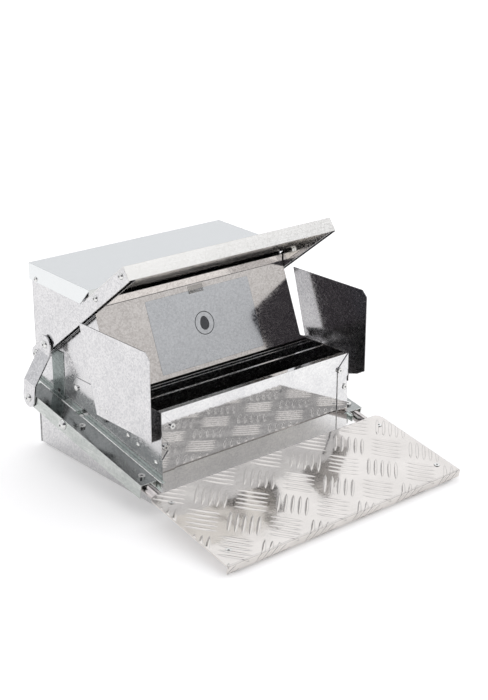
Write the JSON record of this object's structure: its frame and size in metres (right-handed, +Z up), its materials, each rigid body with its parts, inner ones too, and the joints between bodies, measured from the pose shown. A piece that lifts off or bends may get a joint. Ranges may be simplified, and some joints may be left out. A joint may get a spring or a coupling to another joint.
{
  "type": "automatic chicken feeder",
  "caption": "Sheet metal treadle feeder for hens: hopper with hinged roof, covered trough, side wings and a tread plate whose arms and links lift the rain lid.",
  "frame": {"origin": "centre of the flat base pan, on its underside", "axes": "+Z up, -Y towards the trough and tread plate, X from side to side"},
  "size_m": [0.41, 0.4704, 0.3247],
  "materials": {
    "galvanised_sheet": "bright zinc-coated sheet with a faint spangle",
    "roof_steel": "bright zinc-coated sheet, slightly blue",
    "channel_steel": "zinc-coated folded channel, duller than the sheet",
    "tube_steel": "zinc-coated drawn tube",
    "tread_aluminium": "bright mill finish with raised five-bar pattern",
    "zinc_hardware": "bright zinc plating"
  },
  "bodies": {
    "feeder_body": {"base_tray": "galvanised_sheet", "base_side_left": "galvanised_sheet", "base_side_right": "galvanised_sheet", "side_rail_left": "channel_steel", "side_rail_right": "channel_steel", "body_side_left": "galvanised_sheet", "body_side_right": "galvanised_sheet", "side_stay_left": "galvanised_sheet", "side_stay_right": "galvanised_sheet", "hopper_front": "galvanised_sheet", "hopper_back": "galvanised_sheet", "feed_slope": "galvanised_sheet", "trough_tray": "galvanised_sheet", "trough_front": "galvanised_sheet", "trough_rail": "galvanised_sheet", "feed_gate": "galvanised_sheet", "trough_corner_left": "galvanised_sheet", "trough_corner_right": "galvanised_sheet", "trough_corner_screws": "zinc_hardware", "tray_rivets": "zinc_hardware", "wing_left": "galvanised_sheet", "wing_right": "galvanised_sheet", "wing_bracket_left": "galvanised_sheet", "wing_bracket_right": "galvanised_sheet", "wing_screws": "zinc_hardware", "wing_rivets": "zinc_hardware", "treadle_pivot_bolt_left": "zinc_hardware", "treadle_pivot_bolt_right": "zinc_hardware", "pivot_spacer_left": "zinc_hardware", "pivot_spacer_right": "zinc_hardware", "lid_pivot_bolt_left": "zinc_hardware", "lid_pivot_bolt_right": "zinc_hardware", "roof_pivot_screw_left": "zinc_hardware", "roof_pivot_screw_right": "zinc_hardware"},
    "roof": {"roof_lid": "roof_steel"},
    "rain_lid": {"flap_pan": "galvanised_sheet", "lid_arm_left": "galvanised_sheet", "lid_arm_right": "galvanised_sheet", "lid_arm_bolts": "zinc_hardware", "link_top_bolt_left": "zinc_hardware", "link_top_bolt_right": "zinc_hardware"},
    "treadle": {"treadle_arm_left": "channel_steel", "treadle_arm_right": "channel_steel", "treadle_tube_left": "tube_steel", "treadle_tube_right": "tube_steel", "tread_plate": "tread_aluminium", "plate_screws": "zinc_hardware", "tube_bolts": "zinc_hardware", "link_bottom_bolt_left": "zinc_hardware", "link_bottom_bolt_right": "zinc_hardware"},
    "left_link": {"link_left": "galvanised_sheet"},
    "right_link": {"link_right": "galvanised_sheet"}
  },
  "joints": [
    {"name": "treadle_pivot", "type": "hinge", "parent": "feeder_body", "child": "treadle", "pos_m": [0, 0.0332, 0.0757], "axis": [-1, 0, 0], "range_deg": [0, 13.2]},
    {"name": "rain_lid_pivot", "type": "hinge", "parent": "feeder_body", "child": "rain_lid", "pos_m": [0, 0.125, 0.1475], "axis": [1, 0, 0], "range_deg": [0, 36.75]},
    {"name": "left_link_pivot", "type": "hinge", "parent": "treadle", "child": "left_link", "pos_m": [-0.1992, 0.11202, 0.09102], "axis": [1, 0, 0], "range_deg": [0, 20.55]},
    {"name": "right_link_pivot", "type": "hinge", "parent": "treadle", "child": "right_link", "pos_m": [0.1992, 0.11202, 0.09102], "axis": [1, 0, 0], "range_deg": [0, 20.55]},
    {"name": "roof_pivot", "type": "hinge", "parent": "feeder_body", "child": "roof", "pos_m": [0, 0.1276, 0.253], "axis": [-1, 0, 0], "range_deg": [0, 75]}
  ],
  "couplings": [
    {"joint": "rain_lid_pivot", "follows": "treadle_pivot", "ratio": 2.78},
    {"joint": "left_link_pivot", "follows": "treadle_pivot", "ratio": 1.553},
    {"joint": "right_link_pivot", "follows": "treadle_pivot", "ratio": 1.553}
  ]
}
